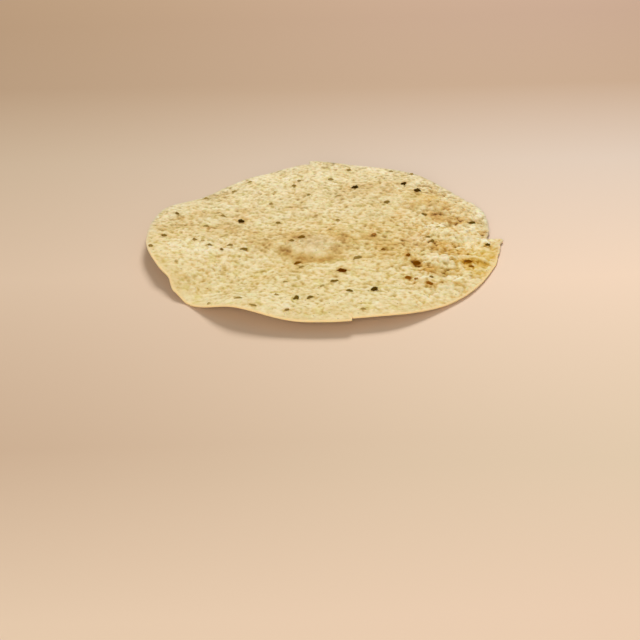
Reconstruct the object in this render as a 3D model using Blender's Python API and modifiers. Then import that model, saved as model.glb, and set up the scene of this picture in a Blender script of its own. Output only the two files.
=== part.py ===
"""A large fried papadum: a thin crisp disc of lentil bread whose rim rises and droops in waves,
with blisters in its sheet and whole cumin seeds and cracked pepper baked into both faces.

Metres, +Z up. It stands at z = 0 on the three places where its rim droops furthest.
"""

import math

import bpy
import numpy as np
from mathutils import Matrix, Vector, geometry

MM = 0.001

# ---- driving sizes ----
SHEET_THICKNESS = 1.2 * MM
POINT_SPACING = 4.0 * MM  # of the points that both faces are split by
RIM_STEP = 2.4  # degrees between the points of the rim
CENTRE_HEIGHT = 4.2 * MM  # of the middle of the sheet over the resting plane
RIM_WAVE_FADE = 2.4  # how fast the rim's waves die out towards the middle, as a power of the radius

# The crests and hollows round the rim: degrees from +X, height over the resting plane in mm, radius in mm.
# The three heights of zero are the places that it stands on.
RIM_WAVES = (
    (8, 0.6, 92.6),
    (34, 0.5, 90.0),
    (58, 4.8, 90.1),
    (76, 5.0, 89.2),
    (94, 8.0, 88.4),
    (112, 3.4, 87.8),
    (135, 0.0, 88.6),
    (158, 4.8, 92.0),
    (180, 6.0, 90.2),
    (200, 6.5, 87.9),
    (208, 5.4, 86.9),
    (215, 2.4, 89.2),
    (222, 0.0, 89.5),
    (243, 7.6, 89.3),
    (264, 5.0, 90.8),
    (285, 5.0, 91.4),
    (314, 0.6, 91.2),
    (340, 0.0, 89.8),
    (354, 0.4, 89.8),
)

# Where a flake has snapped off the rim: degrees, how far the rim is set back in mm,
# and over how many degrees it comes out again.
RIM_CHIPS = (
    (359.6, 7.2, 31.0),
    (94.2, 3.6, 17.0),
    (278.0, 2.3, 18.0),
)
CHIP_CORNER = 0.25  # degrees to each side of a chip's step, between its two corners

# A short crack that runs in from the step of the chip at the front.
CRACK_AZIMUTH = 278.0
CRACK_DEPTH = 4.0 * MM

# Swells and dips of the sheet, in mm: x, y, half length, half width, turn in degrees, height.
SWELLS = (
    (5, 38, 52, 24, 0, 1.6),  # the back half bows up
    (-14, -46, 48, 20, 0, -1.5),  # the front half is a shallow dish
    (-6, -5, 24, 12, 6, 2.2),  # the mound in the middle
    (-5, -25, 20, 6, 2, -1.1),  # and the hollow before it
    (-46, -4, 20, 9, -12, 0.9),
    (-60, 38, 18, 12, 30, 0.8),
    (-30, 62, 18, 8, 20, 0.7),
    (30, 58, 16, 9, 15, 0.9),
    (60, 38, 16, 9, -8, 2.0),  # the ridges and creases of the puffed side, from the back to the front
    (67, 14, 14, 4, -8, -1.3),
    (65, 3, 14, 6, -4, 1.8),
    (62, -17, 12, 5, 0, -1.0),
    (60, -27, 12, 6, -4, 1.7),
    (57, -41, 12, 4, 0, -0.7),
    (49, -48, 5, 4, -10, 1.4),
    (60, -52, 7, 4, -8, 1.2),
    (46, -31, 4, 4, 0, -1.4),  # pits round the largest seeds
    (72, -29, 5, 4, 0, -1.3),
    (42, -45, 4, 4, 0, -0.8),
    (84, 9, 4, 5, 0, -1.0),  # where the rim turns down beside its deepest chip
)
RELIEF_ENDS = 0.86  # the share of the radius from where the relief dies out, so that the rim is a clean wave

# Blisters, many and low: they stand closer and higher towards +X, where the sheet puffed most.
BLISTER_COUNT = 230
BLISTER_RADIUS = (3.5 * MM, 7.0 * MM)
BLISTER_HEIGHT = (0.25 * MM, 0.75 * MM)
BLISTER_REACH = 84 * MM
PUFFED_FROM = 20 * MM  # in x, where the blisters begin to stand higher
PUFFED_OVER = 50 * MM
BLISTER_SEED = 7

# The seeds that stand out on the top face, in mm: x, y, turn in degrees, length, width.
MARKED_SEEDS = (
    (-76, 30, -50, 2.8, 1.6),
    (-81, 3, -20, 2.8, 2.4),
    (-87, -9, -45, 3.0, 1.6),
    (-65, -2, -23, 3.0, 1.5),
    (-57, -9, -30, 3.4, 1.4),
    (-51, -14, -20, 1.8, 1.5),
    (-47, -10, 7, 3.8, 1.2),
    (-40, -14, -9, 4.4, 1.7),
    (-60, 14, -10, 3.6, 1.6),
    (-42, 19, -41, 3.4, 2.4),
    (-62, 57, -28, 3.3, 1.3),
    (-23, 16, -31, 3.3, 1.8),
    (-11, -5, 11, 4.2, 2.2),
    (-16, -8, -18, 3.4, 1.4),
    (-13, -27, 38, 4.6, 1.6),
    (-11, -32, 39, 3.4, 1.8),
    (-19, -48, 30, 3.2, 1.2),
    (-1, -53, 50, 3.5, 1.5),
    (5, -48, 20, 4.6, 1.3),
    (9, -37, -17, 4.2, 2.6),
    (12, -60, -19, 3.8, 1.3),
    (24, -59, 46, 3.2, 2.9),
    (-14, -66, 67, 5.4, 1.9),
    (-7, -66, 43, 4.3, 1.4),
    (-18, -80, 3, 2.8, 1.2),
    (-34, -77, -29, 4.5, 1.2),
    (-41, -68, -11, 4.6, 1.2),
    (17, -24, 31, 4.0, 2.0),
    (30, -16, 40, 2.9, 1.4),
    (26, 0, 3, 2.2, 2.0),
    (34, 37, 26, 3.8, 2.0),
    (18, 55, 3, 3.2, 2.6),
    (44, 60, 40, 4.0, 1.6),
    (51, 51, 45, 3.4, 2.6),
    (53, 24, -25, 2.6, 1.5),
    (77, 16, 14, 4.4, 2.0),
    (55, -7, 44, 2.9, 1.5),
    (83, -8, 23, 2.5, 2.0),
    (42, -24, 41, 2.4, 1.7),
    (46, -29, 3, 4.4, 3.2),
    (72, -27, -13, 3.6, 1.5),
    (73, -31, -35, 2.8, 1.3),
    (41, -44, -11, 3.6, 2.0),
    (51, -52, -39, 3.2, 2.0),
    (-39, 72, 20, 2.6, 1.6),
    (-47, 62, 20, 3.0, 1.9),
    (-15, 60, -10, 2.8, 1.3),
    (-12, 65, 0, 1.8, 1.3),
    (-25, 54, 0, 2.2, 1.1),
    (5, 66, 5, 3.4, 1.8),
    (-7, 46, 60, 2.2, 1.6),
    (9, 44, -10, 2.4, 1.5),
    (-27, 40, 0, 2.0, 1.9),
    (15, 80, 10, 2.4, 1.8),
    (38, 77, -15, 2.2, 1.5),
    (49, 73, 0, 2.6, 1.4),
    (18, -80, -12, 3.2, 1.2),
    (8, 17, -25, 2.8, 1.3),
    (4, 4, 80, 2.0, 1.5),
    (-52, 26, -20, 2.4, 1.8),
    (-61, -4, -10, 2.2, 1.2),
    (-73, -27, -20, 2.0, 1.5),
    (45, -47, 10, 2.2, 1.1),
    (52, -46, -10, 2.2, 1.3),
    (53, -3, 5, 3.2, 1.1),
    (59, 8, 10, 3.0, 1.5),
    (52, -31, 0, 1.9, 1.1),
    (-23, -64, 0, 2.6, 1.0),
    (-55, -67, 15, 2.2, 1.1),
)

# The seeds of the lower face, drawn at random but never close together.
UNDER_SEEDS = 20
SEED_GAP = 10.5 * MM
SEED_CLEARANCE = 5 * MM  # from those of the upper face, seen from above
SEED_REACH = 79 * MM  # from the centre, so that none crosses the rim
CUMIN_SIZE = ((3.4 * MM, 5.2 * MM), (1.3 * MM, 1.7 * MM))  # shortest and longest, narrowest and widest
PEPPER_SIZE = ((1.8 * MM, 2.9 * MM), (1.5 * MM, 2.2 * MM))
PEPPER_SHARE = 0.4
SEED_DEPTH = 1.5 * MM  # a seed's thickness
SEED_RISE = 0.45 * MM  # of its middle over the middle of the sheet
SLOPE_STEP = 0.8 * MM  # over which the slope under a seed is taken
SEED_SIDES = 6
SEED_BANDS = 4
SEED_DRAW = 23

CRISP_COLOUR = (0.70, 0.55, 0.28, 1.0)  # pale straw gold
CRISP_ROUGHNESS = 0.7


def smooth(share):
    """From 0 to 1 with level ends."""
    share = np.clip(share, 0.0, 1.0)
    return share * share * (3.0 - 2.0 * share)


def along_rim(azimuth, column):
    """A column of RIM_WAVES at any azimuth, passing smoothly from each crest or hollow to the next."""
    first = RIM_WAVES[0]
    angles = np.array([wave[0] for wave in RIM_WAVES] + [first[0] + 360.0])
    values = np.array([wave[column] for wave in RIM_WAVES] + [first[column]]) * MM
    turn = (azimuth - angles[0]) % 360.0 + angles[0]
    index = np.clip(np.searchsorted(angles, turn, side="right") - 1, 0, len(RIM_WAVES) - 1)
    share = smooth((turn - angles[index]) / (angles[index + 1] - angles[index]))
    return values[index] + (values[index + 1] - values[index]) * share


def rim_radius(azimuth):
    """The radius of the rim, set back where a flake has snapped off."""
    radius = along_rim(azimuth, 2)
    for start, depth, run in RIM_CHIPS:
        past = (azimuth - start) % 360.0
        radius = radius - depth * MM * (1.0 - smooth(past / run)) * (past < run)
    return radius


def draw_blisters():
    """The x, y, radius and height of every blister."""
    draw = np.random.default_rng(BLISTER_SEED)
    reach = BLISTER_REACH * np.sqrt(draw.random(BLISTER_COUNT))
    azimuth = draw.random(BLISTER_COUNT) * 2.0 * math.pi
    x = reach * np.cos(azimuth)
    y = reach * np.sin(azimuth)
    radius = draw.uniform(*BLISTER_RADIUS, BLISTER_COUNT)
    puffed = 0.6 + 0.8 * smooth((x - PUFFED_FROM) / PUFFED_OVER)
    height = draw.uniform(*BLISTER_HEIGHT, BLISTER_COUNT) * puffed
    return np.stack([x, y, radius, height], axis=1)


def sheet_height(x, y, blisters):
    """The height of the middle of the sheet over the resting plane."""
    azimuth = np.degrees(np.arctan2(y, x))
    share = np.clip(np.hypot(x, y) / along_rim(azimuth, 2), 0.0, 1.0)
    height = CENTRE_HEIGHT + (along_rim(azimuth, 1) - CENTRE_HEIGHT) * share**RIM_WAVE_FADE
    inside = 1.0 - smooth((share - RELIEF_ENDS) / (1.0 - RELIEF_ENDS))
    for centre_x, centre_y, half_length, half_width, turn, rise in SWELLS:
        cosine, sine = math.cos(math.radians(turn)), math.sin(math.radians(turn))
        away_x, away_y = x - centre_x * MM, y - centre_y * MM
        along = (away_x * cosine + away_y * sine) / (half_length * MM)
        across = (away_y * cosine - away_x * sine) / (half_width * MM)
        height = height + rise * MM * np.exp(-(along**2) - across**2) * inside
    for centre_x, centre_y, radius, rise in blisters:
        away = np.hypot(x - centre_x, y - centre_y) / radius
        height = height + rise * (1.0 - smooth(away)) * inside
    return height


def rim_outline():
    """The closed outline seen from above, with both corners of each chip and the crack's three points."""
    corners = [start + side * CHIP_CORNER for start, _, _ in RIM_CHIPS for side in (-1, 1)]
    plain = [angle for angle in np.arange(0.0, 360.0, RIM_STEP)
             if min(abs((angle - corner + 180) % 360 - 180) for corner in corners) > RIM_STEP / 2]
    azimuths = np.sort(np.array(plain + corners + [CRACK_AZIMUTH]) % 360)
    radii = rim_radius(azimuths)
    radii[azimuths == CRACK_AZIMUTH] -= CRACK_DEPTH
    angles = np.radians(azimuths)
    return np.stack([radii * np.cos(angles), radii * np.sin(angles)], axis=1)


def sheet_points(outline):
    """The points inside the outline, in staggered rows."""
    reach = max(wave[2] for wave in RIM_WAVES) * MM
    row_gap = POINT_SPACING * math.sqrt(3) / 2
    points = []
    for row, y in enumerate(np.arange(-reach, reach, row_gap)):
        shift = POINT_SPACING / 2 * (row % 2)
        points += [(x + shift, y) for x in np.arange(-reach, reach, POINT_SPACING)]
    points = np.array(points)
    azimuth = np.degrees(np.arctan2(points[:, 1], points[:, 0]))
    inside = np.hypot(points[:, 0], points[:, 1]) < rim_radius(azimuth) - 0.6 * POINT_SPACING
    points = points[inside]
    away = np.linalg.norm(points[:, None] - outline[None], axis=2).min(axis=1)
    return points[away > 0.5 * POINT_SPACING]


def make_material(name, colour, roughness):
    material = bpy.data.materials.new(name)
    material.use_nodes = True
    shader = material.node_tree.nodes["Principled BSDF"]
    shader.inputs["Base Color"].default_value = colour
    shader.inputs["Roughness"].default_value = roughness
    shader.inputs["Metallic"].default_value = 0.0
    return material


def make_sheet(blisters, collection):
    """The wavy sheet, split into triangles alike on both faces, and thickened by a Solidify."""
    outline = rim_outline()
    points = np.vstack([outline, sheet_points(outline)])
    ring = list(range(len(outline)))
    flat = [Vector(point) for point in points.tolist()]
    corners, _, faces, _, _, _ = geometry.delaunay_2d_cdt(flat, [], [ring], 1, 1e-7)
    x = np.array([corner.x for corner in corners])
    y = np.array([corner.y for corner in corners])
    height = sheet_height(x, y, blisters)
    mesh = bpy.data.meshes.new("papadum")
    mesh.from_pydata(np.stack([x, y, height], axis=1).tolist(), [], faces)
    sheet = bpy.data.objects.new("papadum", mesh)
    collection.objects.link(sheet)
    thicken = sheet.modifiers.new("Crisp thickness", "SOLIDIFY")
    thicken.thickness = SHEET_THICKNESS
    thicken.offset = 0.0
    thicken.use_even_offset = True
    return sheet


def under_seeds():
    """The seeds of the lower face: x, y, turn, length, width and face, each clear of all the others."""
    draw = np.random.default_rng(SEED_DRAW)
    seeds = []
    while len(seeds) < UNDER_SEEDS:
        reach = SEED_REACH * math.sqrt(draw.random())
        azimuth = draw.random() * 2.0 * math.pi
        x, y = reach * math.cos(azimuth), reach * math.sin(azimuth)
        above = min(math.hypot(x - seed[0] * MM, y - seed[1] * MM) for seed in MARKED_SEEDS)
        beside = min([math.hypot(x - seed[0], y - seed[1]) for seed in seeds], default=SEED_GAP)
        if above < SEED_CLEARANCE or beside < SEED_GAP:
            continue
        lengths, widths = PEPPER_SIZE if draw.random() < PEPPER_SHARE else CUMIN_SIZE
        turn = draw.random() * 180.0
        seeds.append((x, y, turn, draw.uniform(*lengths), draw.uniform(*widths), -1))
    return seeds


def seed_frame(x, y, turn, face, blisters):
    """Where a seed lies: its own axes on the slope of the sheet, its middle just under the face."""
    spots_x = np.array([x, x + SLOPE_STEP, x])
    spots_y = np.array([y, y, y + SLOPE_STEP])
    middle, beside, behind = sheet_height(spots_x, spots_y, blisters)
    normal = Vector((middle - beside, middle - behind, SLOPE_STEP)).normalized()
    along = Vector((math.cos(math.radians(turn)), math.sin(math.radians(turn)), 0.0))
    along = (along - normal * along.dot(normal)).normalized()
    across = normal.cross(along)
    place = Vector((x, y, middle)) + normal * SEED_RISE * face
    return Matrix.Translation(place) @ Matrix((across, normal, along)).transposed().to_4x4()


def make_seed(name, size, frame, collection):
    """One seed: a six-sided spindle that lies along its frame's Z axis."""
    length, width = size
    bpy.ops.mesh.primitive_uv_sphere_add(segments=SEED_SIDES, ring_count=SEED_BANDS, radius=0.5)
    seed = bpy.context.object
    seed.name = name
    for other in list(seed.users_collection):
        other.objects.unlink(seed)
    collection.objects.link(seed)
    seed.data.transform(Matrix.Diagonal((width, SEED_DEPTH, length, 1.0)))
    seed.data.transform(frame)
    return seed


def make_seeds(blisters, collection):
    marked = [(x * MM, y * MM, turn, length * MM, width * MM, 1)
              for x, y, turn, length, width in MARKED_SEEDS]
    for index, (x, y, turn, length, width, face) in enumerate(marked + under_seeds()):
        frame = seed_frame(x, y, turn, face, blisters)
        make_seed(f"seed_{index:02d}", (length, width), frame, collection)


def fuse(sheet, seeds):
    """Joins the seeds to the sheet, keeps the result as the sheet's own mesh and removes the seeds."""
    join = sheet.modifiers.new("Fused seeds", "BOOLEAN")
    join.operation = "UNION"
    join.operand_type = "COLLECTION"
    join.collection = seeds
    join.solver = "EXACT"
    bpy.context.view_layer.update()
    evaluated = sheet.evaluated_get(bpy.context.evaluated_depsgraph_get())
    fused = bpy.data.meshes.new_from_object(evaluated)
    sheet.modifiers.clear()
    sheet.data = fused
    for seed in list(seeds.objects):
        bpy.data.objects.remove(seed, do_unlink=True)
    bpy.data.collections.remove(seeds)


def stand_on_origin(thing):
    """Centres the box on X and Y and brings the lowest point to z = 0."""
    corners = np.array([vertex.co for vertex in thing.data.vertices])
    low, high = corners.min(axis=0), corners.max(axis=0)
    thing.data.transform(Matrix.Translation((-(low[0] + high[0]) / 2, -(low[1] + high[1]) / 2, -low[2])))


def main():
    for thing in list(bpy.data.objects):
        bpy.data.objects.remove(thing, do_unlink=True)
    bread = bpy.data.collections.new("Papadum")
    seeds = bpy.data.collections.new("Seeds to fuse")
    for collection in (bread, seeds):
        bpy.context.scene.collection.children.link(collection)
    blisters = draw_blisters()
    papadum = make_sheet(blisters, bread)
    make_seeds(blisters, seeds)
    fuse(papadum, seeds)
    stand_on_origin(papadum)
    papadum.data.materials.clear()
    papadum.data.materials.append(make_material("Crisp lentil bread", CRISP_COLOUR, CRISP_ROUGHNESS))
    papadum.data.shade_smooth()
    papadum.data.set_sharp_from_angle(angle=math.radians(40))


main()
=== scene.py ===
# A large fried papadum. The crisp sheet is one closed, pebbled mesh with a rounded, broken rim, and the
# cumin and the cracked pepper baked into it are pieces of their own.
import math

import bpy
import numpy as np
from mathutils import Matrix, Vector, geometry, kdtree, noise


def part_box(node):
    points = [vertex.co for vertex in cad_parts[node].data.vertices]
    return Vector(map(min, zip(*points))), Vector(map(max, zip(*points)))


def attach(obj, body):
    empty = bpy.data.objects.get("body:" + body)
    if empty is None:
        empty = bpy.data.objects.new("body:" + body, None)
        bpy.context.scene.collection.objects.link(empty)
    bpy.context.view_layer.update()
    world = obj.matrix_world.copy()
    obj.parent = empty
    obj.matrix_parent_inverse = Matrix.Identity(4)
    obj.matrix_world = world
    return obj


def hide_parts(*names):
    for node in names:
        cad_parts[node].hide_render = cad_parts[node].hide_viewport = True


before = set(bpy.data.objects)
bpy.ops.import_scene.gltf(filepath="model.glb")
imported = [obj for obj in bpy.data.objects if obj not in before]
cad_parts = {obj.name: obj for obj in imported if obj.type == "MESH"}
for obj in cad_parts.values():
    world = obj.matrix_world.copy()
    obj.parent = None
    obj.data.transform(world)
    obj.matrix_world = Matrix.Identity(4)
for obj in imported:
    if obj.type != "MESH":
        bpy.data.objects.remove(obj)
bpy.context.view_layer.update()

mm = 0.001
noise.seed_set(3)  # else the noise vectors would start from the clock, and each run would differ

sheet = {  # the same waves, swells and blisters as its solid
    "thickness": 1.2 * mm,
    "topEdge": 0.66 * mm,  # edge length of the mesh on the upper face
    "underEdge": 1.50 * mm,
    "seedEdge": 0.36 * mm,  # and close to the seeds
    "centreHeight": 4.2 * mm,  # of its middle over the resting plane
    "rimFade": 2.4,  # how fast the rim's waves die out towards the middle
    "rimStep": 0.02,  # degrees between the points that the rim is drawn through
    "boxStep": 0.25,  # and between those that its box is measured by
    "rimWaves": (  # degrees, height over the resting plane in mm, radius in mm
        (8, 0.6, 92.6), (34, 0.5, 90.0), (58, 4.8, 90.1), (76, 5.0, 89.2),
        (94, 8.0, 88.4), (112, 3.4, 87.8), (135, 0.0, 88.6), (158, 4.8, 92.0),
        (180, 6.0, 90.2), (200, 6.5, 87.9), (208, 5.4, 86.9), (215, 2.4, 89.2),
        (222, 0.0, 89.5), (243, 7.6, 89.3), (264, 5.0, 90.8), (285, 5.0, 91.4),
        (314, 0.6, 91.2), (340, 0.0, 89.8), (354, 0.4, 89.8),
    ),
    "rimChips": (  # degrees, how far the rim is set back in mm, and over how many degrees
        (359.6, 7.2, 31.0), (94.2, 3.6, 17.0), (278.0, 2.3, 18.0),
    ),
    "crack": (278.0, 4.0 * mm, 0.3),  # degrees, depth, half width in degrees
    "notch": 359.6,  # degrees, where the first chip ends the torn lobe
    "teeth": (  # degrees, how far the lobe or the rim past it juts out in mm, and half its width in degrees
        (358.8, 1.1, 1.9), (354.0, 0.3, 0.9), (351.0, 0.3, 0.8), (347.4, -0.4, 1.3), (343.0, 0.4, 2.0),
        (25.0, 1.3, 8.0),
    ),
    "frays": (  # degrees, over how many degrees, and how far the broken rim strays there in mm
        (350, 12, 0.45), (4, 8, 0.50), (30, 20, 0.95), (96, 8, 0.60), (279, 4, 0.25), (212, 16, 0.15),
    ),
    "leastFray": 0.10 * mm,
    "fraySizes": ((1.0, 5.5 * mm, 2.0), (0.6, 2.4 * mm, 7.0)),  # share, size and layer of the noise
    "reliefEnds": 0.86,  # the share of the radius from where the swells die out
    "swells": (  # x, y, half length, half width in mm, turn in degrees, height in mm
        (5, 38, 52, 24, 0, 1.6), (-14, -46, 48, 20, 0, -1.5), (-6, -5, 24, 12, 6, 2.2),
        (-5, -25, 20, 6, 2, -1.1), (-46, -4, 20, 9, -12, 0.9), (-60, 38, 18, 12, 30, 0.8),
        (-30, 62, 18, 8, 20, 0.7), (30, 58, 16, 9, 15, 0.9), (60, 38, 16, 9, -8, 2.0),
        (67, 14, 14, 4, -8, -1.3), (65, 3, 14, 6, -4, 1.8), (62, -17, 12, 5, 0, -1.0),
        (60, -27, 12, 6, -4, 1.7), (57, -41, 12, 4, 0, -0.7), (49, -48, 5, 4, -10, 1.4),
        (60, -52, 7, 4, -8, 1.2), (46, -31, 4, 4, 0, -1.4), (72, -29, 5, 4, 0, -1.3),
        (42, -45, 4, 4, 0, -0.8), (84, 9, 4, 5, 0, -1.0),
    ),
}

heightColumn, radiusColumn = 1, 2  # of the rim's waves


def smooth(share):
    share = np.clip(share, 0.0, 1.0)
    return share * share * (3.0 - 2.0 * share)


def ranged(pair, share):  # a pair is the value at share 0, and how much is added to it at share 1
    return pair[0] + pair[1] * share


def bell(away, width):  # 1 at nought, falling smoothly to 0
    return np.exp(-(away / width) ** 2)


def azimuthOf(x, y):
    return np.degrees(np.arctan2(y, x))


def turnFrom(azimuth, start):  # in degrees, from -180 to 180
    return (azimuth - start + 180.0) % 360.0 - 180.0


def direction(degrees):
    return math.cos(math.radians(degrees)), math.sin(math.radians(degrees))


def alongAcross(awayX, awayY, turn):  # how far a point lies along a turned line, and beside it
    cosine, sine = direction(turn)
    return awayX * cosine + awayY * sine, awayY * cosine - awayX * sine


def alongRim(azimuth, column):  # passes smoothly from each crest or hollow to the next
    waves = sheet["rimWaves"]
    angles = np.array([wave[0] for wave in waves] + [waves[0][0] + 360.0])
    values = np.array([wave[column] for wave in waves] + [waves[0][column]]) * mm
    turn = (azimuth - angles[0]) % 360.0 + angles[0]
    index = np.clip(np.searchsorted(angles, turn, side="right") - 1, 0, len(waves) - 1)
    share = smooth((turn - angles[index]) / (angles[index + 1] - angles[index]))
    return values[index] + (values[index + 1] - values[index]) * share


def rimRadius(azimuth):
    radius = alongRim(azimuth, radiusColumn)
    for start, depth, run in sheet["rimChips"]:
        past = (azimuth - start) % 360.0
        radius = radius - depth * mm * (1.0 - smooth(past / run)) * (past < run)
    return radius


def rimPoints(azimuths, radii):
    angles = np.radians(azimuths)
    return np.stack([radii * np.cos(angles), radii * np.sin(angles)], axis=1)


blister = {
    "count": 230,
    "radius": (3.5 * mm, 7.0 * mm),
    "height": (0.25 * mm, 0.75 * mm),
    "reach": 84 * mm,
    "puffedFrom": 20 * mm,  # in x, from where they stand higher
    "puffedOver": 50 * mm,
    "puffedGain": (0.6, 0.8),  # the share of that height on the flat left, and how much more on the right
    "seed": 7,  # of the random draws
}


def puffedShare(x):  # 0 on the flat left, 1 on the puffed right
    return smooth((x - blister["puffedFrom"]) / blister["puffedOver"])


def drawBlisters():
    draw = np.random.default_rng(blister["seed"])
    reach = blister["reach"] * np.sqrt(draw.random(blister["count"]))
    azimuth = draw.random(blister["count"]) * 2.0 * math.pi
    x, y = reach * np.cos(azimuth), reach * np.sin(azimuth)
    radius = draw.uniform(*blister["radius"], blister["count"])
    height = draw.uniform(*blister["height"], blister["count"])
    return np.stack([x, y, radius, height * ranged(blister["puffedGain"], puffedShare(x))], axis=1)


blisters = drawBlisters()


def oval(x, y, centreX, centreY, halfLength, halfWidth, turn):  # 1 at the middle, 0 far away
    along, across = alongAcross(x - centreX * mm, y - centreY * mm, turn)
    return np.exp(-((along / (halfLength * mm)) ** 2) - (across / (halfWidth * mm)) ** 2)


def rimShare(x, y):  # 0 in the middle, 1 at the rim
    return np.clip(np.hypot(x, y) / alongRim(azimuthOf(x, y), radiusColumn), 0.0, 1.0)


def sheetHeight(x, y):  # of the middle of the sheet over the resting plane
    share = rimShare(x, y)
    rim = alongRim(azimuthOf(x, y), heightColumn)
    height = sheet["centreHeight"] + (rim - sheet["centreHeight"]) * share ** sheet["rimFade"]
    inside = 1.0 - smooth((share - sheet["reliefEnds"]) / (1.0 - sheet["reliefEnds"]))
    for *form, rise in sheet["swells"]:
        height = height + rise * mm * oval(x, y, *form) * inside
    for centreX, centreY, radius, rise in blisters:
        away = np.hypot(x - centreX, y - centreY) / radius
        height = height + rise * (1.0 - smooth(away)) * inside
    return height


# The seeds that stand out on the top: x, y in mm, turn in degrees, length, width in mm, and how far dough
# covers them, from 0, bare and nearly black, to 1, hardly darker than the sheet.
markedSeeds = (
    (-76, 30, -50, 2.8, 1.6, 0.55), (-81, 3, -20, 2.8, 2.4, 0.60), (-87, -9, -45, 3.0, 1.6, 0.72),
    (-65, -2, -23, 3.0, 1.5, 0.70), (-57, -9, -30, 3.4, 1.4, 0.65), (-51, -14, -20, 1.8, 1.5, 0.50),
    (-47, -10, 7, 3.8, 1.2, 0.70), (-40, -14, -9, 4.4, 1.7, 0.57), (-60, 14, -10, 3.6, 1.6, 0.80),
    (-42, 19, -41, 3.4, 2.4, 0.08), (-62, 57, -28, 3.3, 1.3, 0.76), (-23, 16, -31, 3.3, 1.8, 0.62),
    (-11, -5, 11, 4.2, 2.2, 0.45), (-16, -8, -18, 3.4, 1.4, 0.68), (-13, -27, 38, 4.6, 1.6, 0.40),
    (-11, -32, 39, 3.4, 1.8, 0.80), (-19, -48, 30, 3.2, 1.2, 0.85), (-1, -53, 50, 3.5, 1.5, 0.88),
    (5, -48, 20, 4.6, 1.3, 0.50), (9, -37, -17, 4.2, 2.6, 0.20), (12, -60, -19, 3.8, 1.3, 0.45),
    (24, -59, 46, 3.2, 2.9, 0.20), (-14, -66, 67, 5.4, 1.9, 0.37), (-7, -66, 43, 4.3, 1.4, 0.50),
    (-18, -80, 3, 2.8, 1.2, 0.60), (-34, -77, -29, 4.5, 1.2, 0.78), (-41, -68, -11, 4.6, 1.2, 0.80),
    (17, -24, 31, 4.2, 2.7, 0.72), (30, -16, 40, 2.9, 1.4, 0.50), (26, 0, 3, 2.2, 2.0, 0.66),
    (34, 37, 26, 3.8, 2.0, 0.60), (18, 55, 3, 3.2, 2.6, 0.08), (44, 60, 40, 4.0, 1.6, 0.08),
    (51, 51, 45, 3.4, 2.6, 0.15), (53, 24, -25, 2.6, 1.5, 0.54), (77, 16, 14, 4.4, 2.0, 0.30),
    (55, -7, 44, 2.9, 1.5, 0.60), (83, -8, 23, 2.5, 2.0, 0.25), (42, -24, 41, 2.4, 1.7, 0.42),
    (46, -29, 3, 4.6, 2.5, 0.30), (72, -27, -13, 3.6, 1.5, 0.33), (73, -31, -35, 2.8, 1.3, 0.44),
    (41, -44, -11, 3.6, 2.0, 0.45), (51, -52, -39, 3.2, 2.0, 0.45),
    (-39, 72, 20, 2.6, 1.6, 0.85), (-47, 62, 20, 3.0, 1.9, 0.84), (-15, 60, -10, 2.8, 1.3, 0.66),
    (-12, 65, 0, 1.8, 1.3, 0.72), (-25, 54, 0, 2.2, 1.1, 1.00), (5, 66, 5, 3.4, 1.8, 0.78),
    (-7, 46, 60, 2.2, 1.6, 0.78), (9, 44, -10, 2.4, 1.5, 0.90), (-27, 40, 0, 2.0, 1.9, 0.86),
    (15, 80, 10, 2.4, 1.8, 0.73), (38, 77, -15, 2.2, 1.5, 0.85), (49, 73, 0, 2.6, 1.4, 0.82),
    (18, -80, -12, 3.2, 1.2, 0.82), (8, 17, -25, 2.8, 1.3, 0.80), (4, 4, 80, 2.0, 1.5, 0.95),
    (-52, 26, -20, 2.4, 1.8, 0.76), (-61, -4, -10, 2.2, 1.2, 1.00), (-73, -27, -20, 2.0, 1.5, 1.00),
    (45, -47, 10, 2.2, 1.1, 0.65), (52, -46, -10, 2.2, 1.3, 0.60), (53, -3, 5, 3.2, 1.1, 0.65),
    (59, 8, 10, 3.0, 1.5, 0.95), (52, -31, 0, 1.9, 1.1, 0.90), (-23, -64, 0, 2.6, 1.0, 0.82),
    (-55, -67, 15, 2.2, 1.1, 0.95),
)

scatter = {
    "under": 20,
    "gap": 10.5 * mm,
    "clearance": 5 * mm,  # from the seeds of the upper face, seen from above
    "reach": 79 * mm,
    "cumin": ((3.4 * mm, 5.2 * mm), (1.3 * mm, 1.7 * mm)),  # lengths and widths of those below
    "pepper": ((1.8 * mm, 2.9 * mm), (1.5 * mm, 2.2 * mm)),
    "pepperShare": 0.4,
    "depth": (1.1 * mm, 1.95 * mm),  # a seed's thickness, below and above
    "rise": (0.60 * mm, 0.55 * mm),  # of its middle over the sheet's
    "sink": 0.30 * mm,  # how much deeper the palest lie
    "clear": 0.02 * mm,  # how far every seed stays over the resting plane
    "slopeStep": 0.8 * mm,  # over which the slope under a seed is taken
    "roundest": 1.75,  # a seed no longer than this many widths is pepper
    "seed": 23,  # of the random draws
    "shades": (0.55, 1.0),  # of those below
    "shadeSeed": 3,
}


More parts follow.
